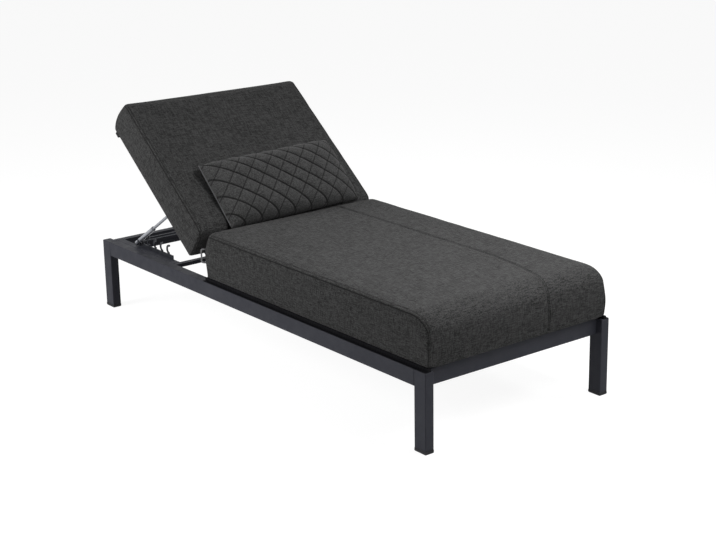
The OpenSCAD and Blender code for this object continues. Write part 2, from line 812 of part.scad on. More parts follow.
module pillow() {
    nu = 2 * quilt_steps * diamonds_long;
    nv = 2 * quilt_steps * diamonds_high;
    row = nu + 1;
    count = row * (nv + 1);
    front = [for (j = [0 : nv], i = [0 : nu]) pillow_point(i, j, nu, nv, pillow_front, 1)];
    rear = [for (j = [0 : nv], i = [0 : nu]) pillow_point(i, j, nu, nv, pillow_rear, -1)];
    cells = [for (j = [0 : nv - 1], i = [0 : nu - 1])
        let (a = j * row + i, b = a + 1, c = b + row, d = a + row)
        each (i + j) % 2 == 0 ? [[a, c, b], [a, d, c]] : [[a, d, b], [b, d, c]]];
    rear_cells = [for (f = cells) [f[0] + count, f[2] + count, f[1] + count]];
    edge = concat([for (i = [0 : nu - 1]) [i, i + 1]],
                  [for (j = [0 : nv - 1]) [nu + j * row, nu + (j + 1) * row]],
                  [for (i = [0 : nu - 1]) [nv * row + nu - i, nv * row + nu - i - 1]],
                  [for (j = [0 : nv - 1]) [(nv - j) * row, (nv - j - 1) * row]]);
    rim = [for (e = edge) each [[e[0], e[1], e[1] + count], [e[0], e[1] + count, e[0] + count]]];
    color(pillow_colour)
    on_backrest()
    translate([pillow_x, pillow_foot_u, pillow_foot_w])
    rotate([pillow_lean, 0, pillow_roll])
    translate([0, pillow_h / 2, 0])
        polyhedron(concat(front, rear), concat(cells, rear_cells, rim));
}

leg(1, -1);  // leg_foot_left
leg(-1, -1);  // leg_foot_right
leg(1, 1);  // leg_head_left
leg(-1, 1);  // leg_head_right
leg_glides();
side_rail(1);  // side_rail_left
side_rail(-1);  // side_rail_right
end_rail(-1);  // foot_rail
end_rail(1);  // head_rail
cross_bar();
rack_carrier(1);  // rack_carrier_left
rack_carrier(-1);  // rack_carrier_right
rack(1);  // rack_left
rack(-1);  // rack_right
rack_screws();
hinge_bar();
hinge_lugs(1);  // hinge_lugs_left
hinge_lugs(-1);  // hinge_lugs_right
hinge_bolts();
hinge_nuts();
seat_slat(1);  // seat_slat_1
seat_slat(2);  // seat_slat_2
seat_slat(3);  // seat_slat_3
seat_slat(4);  // seat_slat_4
seat_slat(5);  // seat_slat_5
seat_slat(6);  // seat_slat_6
seat_slat(7);  // seat_slat_7
slat_screws();
slat_strip(1);  // slat_strip_left
slat_strip(-1);  // slat_strip_right
back_tube(1);  // back_tube_left
back_tube(-1);  // back_tube_right
back_head_tube();
back_foot_tube();
back_slat(1);  // back_slat_1
back_slat(2);  // back_slat_2
back_slat(3);  // back_slat_3
back_slat(4);  // back_slat_4
back_slat(5);  // back_slat_5
back_tube_caps();
hinge_bushes();
stay_bolts();
stay_spacers();
stay_nuts();
stay_leg(1);  // stay_leg_left
stay_leg(-1);  // stay_leg_right
stay_sleeve(1);  // stay_sleeve_left
stay_sleeve(-1);  // stay_sleeve_right
stay_cross_rod();
stay_plugs();
seat_cushion();
back_cushion();
back_cushion_tabs();
pillow();
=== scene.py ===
import json
import math
import bpy
import bmesh
from mathutils import Matrix, Vector, noise


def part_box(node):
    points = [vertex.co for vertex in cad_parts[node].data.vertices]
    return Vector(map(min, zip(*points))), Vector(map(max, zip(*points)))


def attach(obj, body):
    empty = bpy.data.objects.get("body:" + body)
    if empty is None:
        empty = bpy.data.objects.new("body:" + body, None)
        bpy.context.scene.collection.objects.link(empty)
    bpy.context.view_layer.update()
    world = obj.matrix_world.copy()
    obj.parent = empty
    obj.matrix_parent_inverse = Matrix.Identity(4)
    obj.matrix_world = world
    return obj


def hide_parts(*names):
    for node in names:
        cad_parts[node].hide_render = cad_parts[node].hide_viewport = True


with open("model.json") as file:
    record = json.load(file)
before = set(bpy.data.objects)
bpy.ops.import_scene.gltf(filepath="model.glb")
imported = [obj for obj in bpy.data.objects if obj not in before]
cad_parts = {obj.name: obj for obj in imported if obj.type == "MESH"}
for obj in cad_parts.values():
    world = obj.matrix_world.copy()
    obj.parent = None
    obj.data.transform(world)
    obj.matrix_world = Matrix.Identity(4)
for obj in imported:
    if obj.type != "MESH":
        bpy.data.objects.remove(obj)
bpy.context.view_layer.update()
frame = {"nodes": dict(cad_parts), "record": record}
scene = bpy.context.scene
nodes = frame["nodes"]
print("lounger frame loaded:", len(nodes), "pieces")

# the backrest's own frame: Y up the back, Z out of its face
backrest = {"hinge": (0.0, 0.302, 0.284), "tilt": 37.4}
backPlace = Matrix.Translation(backrest["hinge"]) @ Matrix.Rotation(math.radians(backrest["tilt"]), 4, "X")

# solved from the frame's straight edges; angles in degrees, focal length in photo pixels
cameraSet = {
    "place": (-3.4989, -4.6387, 2.0938),
    "yaw": 37.886, "pitch": 17.196, "roll": -0.957,
    "focal": 1640.04, "photoWide": 716, "sensor": 36.0, "seesTo": 100,
}


def makeCamera(s):
    yaw, pitch, roll = (math.radians(s[k]) for k in ("yaw", "pitch", "roll"))
    look = Vector((math.sin(yaw) * math.cos(pitch), math.cos(yaw) * math.cos(pitch), -math.sin(pitch)))
    right = look.cross(Vector((0, 0, 1))).normalized()
    up = right.cross(look)
    side = math.cos(roll) * right + math.sin(roll) * up
    top = -math.sin(roll) * right + math.cos(roll) * up
    data = bpy.data.cameras.new("photoCamera")
    data.sensor_width = s["sensor"]
    data.lens = s["focal"] * s["sensor"] / s["photoWide"]
    data.clip_end = s["seesTo"]
    camera = bpy.data.objects.new("photoCamera", data)
    scene.collection.objects.link(camera)
    turn = Matrix((side, top, -look)).transposed().to_4x4()
    camera.matrix_world = Matrix.Translation(s["place"]) @ turn
    scene.camera = camera


lamps = {
    "key": {"place": (2.4, -1.9, 2.6), "aim": (0, 0.2, 0.5), "size": 0.8, "power": 34},
    "foot": {"place": (0.3, -2.1, 1.8), "aim": (0, -1.0, 0.4), "size": 0.9, "power": 20},
    "over": {"place": (0.3, -0.95, 1.95), "aim": (0, -0.9, 0.4), "size": 0.8, "power": 26},
    "fill": {"place": (-3.0, 1.3, 1.8), "aim": (0, 0.4, 0.4), "size": 2.0, "power": 105},
    "back": {"place": (1.8, 2.0, 2.7), "aim": (0, 0.1, 0.4), "size": 1.6, "power": 14},
}


def makeLamps(lampSet):
    for name, s in lampSet.items():
        data = bpy.data.lights.new(name, "AREA")
        data.shape = "DISK"
        data.size = s["size"]
        data.energy = s["power"]
        lamp = bpy.data.objects.new(name, data)
        scene.collection.objects.link(lamp)
        lamp.location = s["place"]
        lamp.rotation_euler = (Vector(s["aim"]) - Vector(s["place"])).to_track_quat("-Z", "Y").to_euler()


def addNode(tree, kind, **sockets):
    made = tree.nodes.new(kind)
    for key, value in sockets.items():
        made.inputs[key.replace("_", " ")].default_value = value
    return made


def mathNode(tree, operation, first, second=None):
    made = tree.nodes.new("ShaderNodeMath")
    made.operation = operation
    for socket, value in zip(made.inputs, (first, second)):
        if value is None:
            continue
        if isinstance(value, (int, float)):
            socket.default_value = value
        else:
            tree.links.new(value, socket)
    return made.outputs[0]


# 1 where the background is seen by the camera, in gloss or through glass
def seenDirectly(tree):
    path = tree.nodes.new("ShaderNodeLightPath")
    gloss = mathNode(tree, "MAXIMUM", path.outputs["Is Glossy Ray"], path.outputs["Is Transmission Ray"])
    return mathNode(tree, "MAXIMUM", path.outputs["Is Camera Ray"], gloss)


studio = {"sky": 0.12, "floorHalf": 14, "floorPlain": 0.6, "floorSeen": 0.18, "floorGlow": 0.92}


def grey(level):
    return (level, level, level, 1)


# one shader where the light falls, another where the surface is seen directly
def mixSeen(tree, plain, seen, out):
    mix = tree.nodes.new("ShaderNodeMixShader")
    tree.links.new(seenDirectly(tree), mix.inputs[0])
    tree.links.new(plain.outputs[0], mix.inputs[1])
    tree.links.new(seen.outputs[0], mix.inputs[2])
    tree.links.new(mix.outputs[0], out.inputs[0])


def makeWorld(s):
    world = bpy.data.worlds.new("studio")
    scene.world = world
    world.use_nodes = True
    tree = world.node_tree
    tree.nodes.clear()
    out = tree.nodes.new("ShaderNodeOutputWorld")
    soft = addNode(tree, "ShaderNodeBackground", Color=grey(1), Strength=s["sky"])
    white = addNode(tree, "ShaderNodeBackground", Color=grey(1), Strength=1.0)
    mixSeen(tree, soft, white, out)


def makeFloor(s):
    mesh = bmesh.new()
    bmesh.ops.create_grid(mesh, x_segments=4, y_segments=4, size=s["floorHalf"])
    data = bpy.data.meshes.new("floor")
    mesh.to_mesh(data)
    mesh.free()
    floor = bpy.data.objects.new("floor", data)
    scene.collection.objects.link(floor)
    material = bpy.data.materials.new("paleFloor")
    material.use_nodes = True
    tree = material.node_tree
    tree.nodes.clear()
    out = tree.nodes.new("ShaderNodeOutputMaterial")
    plain = addNode(tree, "ShaderNodeBsdfDiffuse", Color=grey(s["floorPlain"]))
    shaded = addNode(tree, "ShaderNodeBsdfDiffuse", Color=grey(s["floorSeen"]))
    glow = addNode(tree, "ShaderNodeEmission", Color=grey(1), Strength=s["floorGlow"])
    seen = tree.nodes.new("ShaderNodeAddShader")
    tree.links.new(shaded.outputs[0], seen.inputs[0])
    tree.links.new(glow.outputs[0], seen.inputs[1])
    mixSeen(tree, plain, seen, out)
    data.materials.append(material)


makeCamera(cameraSet)
makeLamps(lamps)
makeWorld(studio)
makeFloor(studio)
scene.view_settings.view_transform = "Standard"
print("camera, lamps and floor placed")


def startMaterial(name):
    material = bpy.data.materials.new(name)
    material.use_nodes = True
    tree = material.node_tree
    place = tree.nodes.new("ShaderNodeTexCoord").outputs["Object"]
    return material, tree, tree.nodes["Principled BSDF"], place


def noiseNode(tree, place, scale, detail=3.0, rough=0.55):
    made = addNode(tree, "ShaderNodeTexNoise", Scale=scale, Detail=detail, Roughness=rough)
    tree.links.new(place, made.inputs["Vector"])
    return made.outputs["Fac"]


# spreads a value, by default noise, between low and high
def rangeNode(tree, value, low, high, fromLow=0.3, fromHigh=0.7):
    made = addNode(tree, "ShaderNodeMapRange")
    made.inputs["From Min"].default_value = fromLow
    made.inputs["From Max"].default_value = fromHigh
    made.inputs["To Min"].default_value = low
    made.inputs["To Max"].default_value = high
    tree.links.new(value, made.inputs["Value"])
    return made.outputs["Result"]


def mixColour(tree, factor, first, second):
    made = tree.nodes.new("ShaderNodeMix")
    made.data_type = "RGBA"
    tree.links.new(factor, made.inputs[0])
    for socket, value in ((made.inputs[6], first), (made.inputs[7], second)):
        if isinstance(value, tuple):
            socket.default_value = (*value, 1)
        else:
            tree.links.new(value, socket)
    return made.outputs[2]


def bumpNode(tree, height, strength, distance, shader):
    made = addNode(tree, "ShaderNodeBump", Strength=strength, Distance=distance)
    tree.links.new(height, made.inputs["Height"])
    tree.links.new(made.outputs["Normal"], shader.inputs["Normal"])


# powder coat: a fine orange peel, faint cloudiness and a little rubbed dust
def makeCoating(name, s):
    material, tree, shader, place = startMaterial(name)
    cloud = rangeNode(tree, noiseNode(tree, place, s["cloudScale"]), 0.0, 1.0)
    speck = rangeNode(tree, noiseNode(tree, place, s["speckScale"], 2.0), 0.0, 1.0, *s["speckSpan"])
    base = mixColour(tree, cloud, s["dark"], s["light"])
    base = mixColour(tree, mathNode(tree, "MULTIPLY", speck, s["speck"]), base, s["dust"])
    tree.links.new(base, shader.inputs["Base Color"])
    rubbed = rangeNode(tree, noiseNode(tree, place, s["rubbedScale"]), *s["rough"])
    tree.links.new(rubbed, shader.inputs["Roughness"])
    shader.inputs["Metallic"].default_value = s["metallic"]
    shader.inputs["Specular IOR Level"].default_value = s["specular"]
    fine, coarse = (noiseNode(tree, place, scale, 2.0) for scale in s["peelScales"])
    peel = mathNode(tree, "ADD", fine, mathNode(tree, "MULTIPLY", coarse, s["coarseShare"]))
    bumpNode(tree, peel, s["peel"], s["peelDeep"], shader)
    return material


metalGrain = {"patchScale": 18.0, "bump": 0.12, "deep": 0.0003}


# satin metal, drawn along one axis
def makeMetal(name, s):
    material, tree, shader, place = startMaterial(name)
    stretch = addNode(tree, "ShaderNodeMapping", Scale=s["grain"])
    tree.links.new(place, stretch.inputs["Vector"])
    lines = noiseNode(tree, stretch.outputs[0], 1.0, 2.0)
    patch = rangeNode(tree, noiseNode(tree, place, metalGrain["patchScale"]), 0.0, 1.0)
    tree.links.new(mixColour(tree, patch, s["dark"], s["light"]), shader.inputs["Base Color"])
    shader.inputs["Metallic"].default_value = s["metallic"]
    tree.links.new(rangeNode(tree, lines, *s["rough"]), shader.inputs["Roughness"])
    bumpNode(tree, lines, metalGrain["bump"], metalGrain["deep"], shader)
    return material


plasticGrain = {"patchScale": 60.0, "roughScale": 25.0, "bumpScale": 1200.0, "bump": 0.2, "deep": 0.0003}


# matt plastic, also for tape and piping, with a fine pebbled skin
def makePlastic(name, s):
    g = plasticGrain
    material, tree, shader, place = startMaterial(name)
    patch = rangeNode(tree, noiseNode(tree, place, g["patchScale"]), 0.0, 1.0)
    tree.links.new(mixColour(tree, patch, s["dark"], s["light"]), shader.inputs["Base Color"])
    rough = rangeNode(tree, noiseNode(tree, place, g["roughScale"]), *s["rough"])
    tree.links.new(rough, shader.inputs["Roughness"])
    shader.inputs["Specular IOR Level"].default_value = s["gloss"]
    bumpNode(tree, noiseNode(tree, place, g["bumpScale"], 2.0), g["bump"], g["deep"], shader)
    return material


clothGrain = {"slubDetail": (3.0, 0.62), "blotchScale": 9.0, "stitchCore": 0.35, "stitchSunk": 1.2,
              "sheenRough": 0.5, "weaveShare": 0.35, "deep": 0.0009}


# a line of stitching where the attribute passes a value: 1 on the line, 0 away from it
def stitchLine(tree, gap, at, wide):
    away = mathNode(tree, "ABSOLUTE", mathNode(tree, "SUBTRACT", gap, at))
    return rangeNode(tree, away, 1.0, 0.0, wide * clothGrain["stitchCore"], wide)


# woven upholstery: heathered threads along both directions, a fine weave and stitched seams, whose lines are
# darkened by dark thread and by painted shade of their grooves
def makeCloth(name, s):
    g = clothGrain
    material, tree, shader, place = startMaterial(name)
    turn = addNode(tree, "ShaderNodeMapping", Rotation=(-math.radians(s["tilt"]), 0, 0))
    tree.links.new(place, turn.inputs["Vector"])
    own = turn.outputs[0]
    slubs = []
    for scale in s["slubs"]:
        stretch = addNode(tree, "ShaderNodeMapping", Scale=scale)
        tree.links.new(own, stretch.inputs["Vector"])
        slubs.append(noiseNode(tree, stretch.outputs[0], 1.0, *g["slubDetail"]))
    thread = slubs[0]
    for more in slubs[1:]:
        thread = mathNode(tree, "ADD", thread, more)
    thread = mathNode(tree, "DIVIDE", thread, float(len(slubs)))
    heather = rangeNode(tree, thread, 0.0, 1.0, *s["heather"])
    blotch = rangeNode(tree, noiseNode(tree, own, g["blotchScale"], 4.0), 0.0, 1.0)
    base = mixColour(tree, heather, s["dark"], s["light"])
    base = mixColour(tree, mathNode(tree, "MULTIPLY", blotch, s["blotch"]), base, s["worn"])
    sunk = 0.0
    for attribute, lines, dark in (("seamGap", s["seams"], s["seamDark"]),
                                   ("channelGap", s["channels"], s["channelDark"])):
        gap = addNode(tree, "ShaderNodeAttribute")
        gap.attribute_name = attribute
        sewn = 0.0
        for at, wide in lines:
            sewn = mathNode(tree, "MAXIMUM", sewn, stitchLine(tree, gap.outputs["Fac"], at, wide))
        # darkens the stitched lines towards the thread colour: part dark thread, part painted shade standing
        # in for the groove's shadow
        base = mixColour(tree, mathNode(tree, "MULTIPLY", sewn, dark), base, s["thread"])
        sunk = mathNode(tree, "ADD", sunk, mathNode(tree, "MULTIPLY", sewn, g["stitchSunk"]))
    tree.links.new(base, shader.inputs["Base Color"])
    shader.inputs["Roughness"].default_value = s["rough"]
    shader.inputs["Specular IOR Level"].default_value = s["gloss"]
    shader.inputs["Sheen Weight"].default_value = s["sheen"]
    shader.inputs["Sheen Roughness"].default_value = g["sheenRough"]
    parts = tree.nodes.new("ShaderNodeSeparateXYZ")
    tree.links.new(own, parts.inputs[0])
    turns = 2 * math.pi / s["pitch"]
    waves = [mathNode(tree, "SINE", mathNode(tree, "MULTIPLY", axis, turns)) for axis in parts.outputs]
    weave = mathNode(tree, "ADD", mathNode(tree, "MULTIPLY", waves[0], waves[1]),
                     mathNode(tree, "MULTIPLY", waves[1], waves[2]))
    weave = mathNode(tree, "ADD", weave, mathNode(tree, "MULTIPLY", waves[2], waves[0]))
    height = mathNode(tree, "ADD", mathNode(tree, "MULTIPLY", weave, g["weaveShare"]), thread)
    height = mathNode(tree, "SUBTRACT", height, sunk)
    bumpNode(tree, height, s["bump"], g["deep"], shader)
    return material


# seams and channels are lines of stitching: how far along the attribute, and how wide; thread is the colour
# their lines are darkened to, part dark thread and part painted shade of the groove
cushionCloth = {
    "tilt": 0.0, "dark": (0.0095, 0.0095, 0.0095), "light": (0.052, 0.052, 0.052),
    "worn": (0.055, 0.055, 0.055), "thread": (0.005, 0.005, 0.005), "heather": (0.43, 0.57), "blotch": 0.15,
    "rough": 0.85, "gloss": 0.06, "sheen": 0.03, "pitch": 0.0016, "bump": 0.35,
    "slubs": ((370, 370, 45), (300, 45, 300), (45, 300, 300)),
    "seamDark": 0.85, "seams": ((0.0, 0.0024), (0.0105, 0.0014)),
    "channelDark": 0.7, "channels": ((0.0, 0.0018), (0.0062, 0.0012)),
}
backCloth = {**cushionCloth, "tilt": backrest["tilt"], "seams": ((0.0, 0.0024), (0.0095, 0.0014))}
pillowCloth = {
    "tilt": 44.8, "dark": (0.014, 0.014, 0.014), "light": (0.061, 0.061, 0.061),
    # thread darkens the quilt lines: part dark thread, part painted shade of their grooves
    "worn": (0.066, 0.066, 0.066), "thread": (0.005, 0.005, 0.005), "heather": (0.42, 0.58), "blotch": 0.2,
    "rough": 0.8, "gloss": 0.08, "sheen": 0.05, "pitch": 0.0012, "bump": 0.3,
    "slubs": ((90, 500, 90), (500, 80, 500), (280, 280, 280)),
    "seamDark": 0.95, "seams": ((0.0, 0.0044),), "channelDark": 0.7, "channels": ((0.0, 0.0030),),
}
finishes = {
    "frame_coating": makeCoating("powderCoat", {
        "dark": (0.021, 0.022, 0.029), "light": (0.028, 0.029, 0.037), "dust": (0.06, 0.06, 0.067),
        "speck": 0.12, "rough": (0.46, 0.6), "metallic": 0.0, "specular": 0.12, "cloudScale": 6.0,
        "speckScale": 240.0, "speckSpan": (0.35, 0.75), "rubbedScale": 30.0,
        "peel": 0.1, "peelScales": (900.0, 260.0), "coarseShare": 0.7, "peelDeep": 0.0004}),
    "bright_metal": makeMetal("rackMetal", {
        "dark": (0.022, 0.024, 0.03), "light": (0.05, 0.053, 0.062), "metallic": 0.7,
        "rough": (0.34, 0.5), "grain": (40, 900, 900)}),
    "stay_metal": makeMetal("stayMetal", {
        "dark": (0.26, 0.27, 0.29), "light": (0.34, 0.35, 0.38), "metallic": 0.8,
        "rough": (0.32, 0.48), "grain": (900, 60, 60)}),
    "black_plastic": makePlastic("footPlastic", {
        "dark": (0.010, 0.010, 0.012), "light": (0.016, 0.016, 0.019), "rough": (0.5, 0.65), "gloss": 0.2}),
    # near-black, darker than the black foot plastic: the slat strips carry painted shade of the gap under the
    # seat cushion
    "strip_plastic": makePlastic("stripPaintedShade", {
        "dark": (0.002, 0.002, 0.003), "light": (0.004, 0.004, 0.005), "rough": (0.6, 0.75), "gloss": 0.06}),
    "charcoal_fabric": makeCloth("seatCloth", cushionCloth),
    "back_fabric": makeCloth("backCloth", backCloth),
    "quilted_fabric": makeCloth("pillowCloth", pillowCloth),
    "webbing": makePlastic("tapeWebbing", {
        "dark": (0.014, 0.014, 0.015), "light": (0.03, 0.03, 0.032), "rough": (0.7, 0.85), "gloss": 0.2}),
    "piping": makePlastic("pillowEdge", {
        "dark": (0.05, 0.05, 0.052), "light": (0.09, 0.09, 0.093), "rough": (0.7, 0.85), "gloss": 0.2}),
    "tape": makePlastic("loopTape", {
        "dark": (0.13, 0.13, 0.135), "light": (0.19, 0.19, 0.195), "rough": (0.6, 0.75), "gloss": 0.3}),
}
nodeFinish = {entry["node"]: entry["material_slot"] for entry in frame["record"]["subparts"]}
# the slat strips take the near-black finish that paints the shade under the seat cushion
nodeFinish.update(slat_strip_left="strip_plastic", slat_strip_right="strip_plastic",
                  stay_cross_rod="bright_metal")
for name, piece in nodes.items():
    piece.data.materials.clear()
    piece.data.materials.append(finishes[nodeFinish[name]])
print("finishes laid on the frame's pieces")


def finishPiece(mesh, name, material, body, replaced=(), smooth=False):
    data = bpy.data.meshes.new(name)
    mesh.to_mesh(data)
    mesh.free()
    piece = bpy.data.objects.new(name, data)
    scene.collection.objects.link(piece)
    data.materials.append(material)
    for face in data.polygons:
        face.use_smooth = smooth
    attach(piece, body)
    if replaced:
        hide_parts(*replaced)
    return piece


def everything(mesh):
    return mesh.verts[:] + mesh.edges[:] + mesh.faces[:]


def makeBox(low, high):
    mesh = bmesh.new()
    bmesh.ops.create_cube(mesh, size=1.0)
    bmesh.ops.scale(mesh, vec=high - low, verts=mesh.verts)
    bmesh.ops.translate(mesh, vec=(low + high) / 2, verts=mesh.verts)
    return mesh


# a coated bar with softly rounded edges, the size of its CAD node
def makeBar(node, edge):
    mesh = makeBox(*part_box(node))
    bmesh.ops.bevel(mesh, geom=mesh.edges[:], offset=edge, offset_type="OFFSET", segments=3,
                    profile=0.5, affect="EDGES", material=-1)
    return mesh


# the CAD node of each bar and the rounding of its edges
frameBars = {
    "legFootLeft": ("leg_foot_left", 0.0024), "legFootRight": ("leg_foot_right", 0.0024),
    "legHeadLeft": ("leg_head_left", 0.0024), "legHeadRight": ("leg_head_right", 0.0024),
    "sideRailLeft": ("side_rail_left", 0.0020), "sideRailRight": ("side_rail_right", 0.0020),
    "crossBar": ("cross_bar", 0.0016), "hingeBar": ("hinge_bar", 0.0016),
    "rackCarrierLeft": ("rack_carrier_left", 0.0016), "rackCarrierRight": ("rack_carrier_right", 0.0016),
}
for name, (node, edge) in frameBars.items():
    finishPiece(makeBar(node, edge), name, finishes["frame_coating"], "frame", (node,))

# the end rails have a groove along the inner face
endRails = {"edge": 0.0020, "grooveTop": 0.241, "grooveFoot": 0.235, "grooveDeep": 0.0012}
for name, node, inward in (("footRail", "foot_rail", 1), ("headRail", "head_rail", -1)):
    mesh = makeBar(node, endRails["edge"])
    for level in (endRails["grooveFoot"], endRails["grooveTop"]):
        bmesh.ops.bisect_plane(mesh, geom=everything(mesh), plane_co=(0, 0, level), plane_no=(0, 0, 1))
    inner = [f for f in mesh.faces if f.normal.y * inward > 0.9
             and endRails["grooveFoot"] < f.calc_center_median().z < endRails["grooveTop"]]
    pushed = bmesh.ops.extrude_face_region(mesh, geom=inner)
    moved = [v for v in pushed["geom"] if isinstance(v, bmesh.types.BMVert)]
    bmesh.ops.delete(mesh, geom=inner, context="FACES")
    bmesh.ops.translate(mesh, vec=(0, -inward * endRails["grooveDeep"], 0), verts=moved)
    finishPiece(mesh, name, finishes["frame_coating"], "frame", (node,))
print("frame bars made")


# a box cut by planes, so that every seam has loops of its own
def slicedBox(low, high, cuts):
    mesh = makeBox(low, high)
    for axis in range(3):
        normal = Vector((0, 0, 0))
        normal[axis] = 1
        for place in cuts[axis]:
            bmesh.ops.bisect_plane(mesh, geom=everything(mesh), dist=1e-6,
                                   plane_co=normal * place, plane_no=normal)
    return mesh


# what both cushions share: the cuts of their box, as shares of a reach or as distances, what the
# sewing holds still, the form of the flat seam, and the unevenness of the stuffed cloth
sewing = {
    "hair": 1e-5, "leastCut": 4e-4, "farAway": 0.2, "clothSteps": 24, "searchSteps": 40,
    "seamCuts": (-0.45, -0.2, 0, 0.2, 0.5, 0.8, 1.0, 1.25, 1.6),
    "shoulderCuts": (0.012, 0.049, 0.11, 0.191, 0.3, 0.412, 0.55, 0.691, 0.85, 1.0),
    "sideCuts": (0.3, 0.412, 0.55, 0.691, 0.85, 1.0), "underCuts": (0.1, 0.4),
    "channelCuts": (0, 0.0018, 0.0042, 0.0065, 0.009, 0.015), "endCut": 0.006,
    "topCuts": (0.004, 0.010, 0.018), "footCuts": (0.006, 0.014),
    "footHeld": 0.002, "seamHeld": 0.006, "channelHeld": 0.0075, "ridgeSunk": 0.9, "ridgeFade": 0.6,
    "lumpsFrom": 0.012, "lumpScales": (6.0, 17.0), "fineLumps": 0.5,
    "puckerScale": 14, "puckerAlong": 46, "puckerReach": 0.022, "ridgeFrom": -0.02,
    "grooveReach": 0.0048, "lipAt": 0.012, "lipReach": 0.004, "gatherScale": 60, "gatherReach": 0.02,
    "bendOutside": 0.15, "bendInside": 0.22, "bendPower": 2.2, "cornerFrom": 0.5, "cornerPower": 1.5,
    "hangBelow": 0.018, "hangRise": 0.014, "hangAside": 0.012, "hangFade": 0.025,
}


# places between two ends: the given ones, with the stretches between filled evenly
def spread(low, high, keys, step):
    least = sewing["leastCut"]
    inner = sorted(k for k in keys if low + least < k < high - least)
    marks = [low]
    for k in inner + [high]:
        if k - marks[-1] > least:
            marks.append(k)
    out = []
    for a, b in zip(marks, marks[1:]):
        count = max(1, math.ceil((b - a) / step))
        out += [a + (b - a) * i / count for i in range(1, count)]
        if b < high:
            out.append(b)
    return out


# how far a shoulder has dropped at a distance inside its edge: a quarter ellipse
def shoulderDrop(inside, reach, fall):
    if inside >= reach:
        return 0.0
    return fall * (1 - math.sqrt(max(0.0, 1 - (1 - max(0.0, inside) / reach) ** 2)))


# the length of cloth from the edge to that place
def shoulderCloth(inside, reach, fall):
    steps, total, last = sewing["clothSteps"], 0.0, (0.0, fall)
    end = min(inside, reach)
    for i in range(1, steps + 1):
        e = end * (i / steps) ** 2
        now = (e, shoulderDrop(e, reach, fall))
        total += math.hypot(now[0] - last[0], now[1] - last[1])
        last = now
    return total + max(0.0, inside - reach)


# the distance inside the edge at which that length of cloth is reached
def insideAt(cloth, reach, fall):
    low, high = 0.0, cloth
    for _ in range(sewing["searchSteps"]):
        middle = (low + high) / 2
        if shoulderCloth(middle, reach, fall) < cloth:
            low = middle
        else:
            high = middle
    return high


# a flat seam: a ridge between two stitched lines, which sink below the cloth beside them
def seamRidge(gap, wide):
    t = gap / wide
    if 0 <= t <= 1:
        return 1 - (1 + sewing["ridgeSunk"]) * (2 * t - 1) ** 4
    outside = max(-t, t - 1) / sewing["ridgeFade"]
    return -sewing["ridgeSunk"] * max(0.0, 1 - outside) ** 2


# the walls' upright edges are tight, and open out to the rounder corners of the top
def roundPlan(x, y, share, s):
    corner = s["footCorner"] if y < 0 else s["headCorner"]
    opened = max(0.0, share - sewing["cornerFrom"]) / (1 - sewing["cornerFrom"])
    radius = s["wallCorner"] + (corner - s["wallCorner"]) * opened ** sewing["cornerPower"]
    dx, dy = abs(x) - (s["halfWidth"] - radius), abs(y) - (s["halfLength"] - radius)
    if dx <= 0 or dy <= 0:
        return x, y
    k = max(dx, dy) / math.hypot(dx, dy)
    return (math.copysign(s["halfWidth"] - radius + dx * k, x),
            math.copysign(s["halfLength"] - radius + dy * k, y))


# how far the top has dropped below its middle, at the sides, the head and the foot
def topDrop(x, y, s):
    hx, hy = s["halfWidth"], s["halfLength"]
    side = shoulderDrop(hx - abs(x), s["reach"], s["fall"])
    head = shoulderDrop(hy - y, s["reach"], s["fall"])
    return math.hypot(side, head) + shoulderDrop(hy + y, s["footReach"], s["footFall"])


# how far the sewn channel bends aside towards the foot
def channelBend(y, s):
    along = (s["bendFrom"] - y) / (s["bendFrom"] + s["halfLength"])
    return s["bendBy"] * max(0.0, along) ** sewing["bendPower"]


# how far the foot's lower edge hangs over the rail
def footHang(x, y, s):
    along = (-s["halfLength"] + sewing["hangBelow"] - y) / sewing["hangRise"]
    across = (s["halfWidth"] - sewing["hangAside"] - abs(x)) / sewing["hangFade"]
    return s["hang"] * min(1.0, max(0.0, along)) * min(1.0, max(0.0, across))


# brings a point of the cut box to the cushion's form
def cushionPoint(x, y, z, s):
    hx, hy, t = s["halfWidth"], s["halfLength"], s["thick"]
    rise = s["crown"] * (1 - (x / hx) ** 2) * (1 - (y / hy) ** 4)
    top = t + rise - topDrop(x, y, s)
    edge = s["underEdge"] if y > 0 else s["footEdge"]
    foot = max(shoulderDrop(hx - abs(x), s["underEdge"], s["underEdge"]),
               shoulderDrop(hy - abs(y), edge, edge)) - footHang(x, y, s)
    share = min(1.0, max(0.0, z / t))
    px, py = roundPlan(x, y, share, s)
    if s["channel"] is not None and share > 0:
        off = x - s["channel"]
        reach = sewing["bendOutside"] if off > 0 else sewing["bendInside"]
        px += channelBend(y, s) * max(0.0, 1 - (off / reach) ** 2) ** 2
    if 0 < share < 1:
        belly = math.sin(math.pi * share)
        sx, sy = px / hx, py / hy
        sides = s["swell"] * belly
        ends = sides if y < 0 else s["headSwell"] * math.sin(math.pi * share ** s["headLow"])
        return Vector((px + sides * sx * (1 - s["hold"] * sy * sy),
                       py + ends * sy * (1 - s["hold"] * sx * sx), foot + (top - foot) * share))
    return Vector((px, py, top if share >= 1 else foot))


# true on the top panel, which runs over both ends down to the floor of the box
def onPanel(start, s):
    hair = sewing["hair"]
    atEnd = abs(start.y) > s["halfLength"] - hair
    return start.z > s["thick"] - hair or (atEnd and start.z > hair)


# gap from the side seam along the cloth: above 0 on the top panel, below 0 on the boxing
def seamGap(start, s):
    if onPanel(start, s):
        return shoulderCloth(s["halfWidth"] - abs(start.x), s["reach"], s["fall"]) - s["seamUp"]
    if abs(abs(start.x) - s["halfWidth"]) < sewing["hair"]:
        wall = s["thick"] - topDrop(s["halfWidth"], start.y, s) - s["underEdge"]
        toTop = wall * (1 - start.z / s["thick"])
        return -s["seamUp"] - min(toTop, s["halfLength"] - abs(start.y))
    return -sewing["farAway"]


clothRun = {"quality": 4, "mass": 0.25, "air": 4, "shear": 4, "held": 1.0}


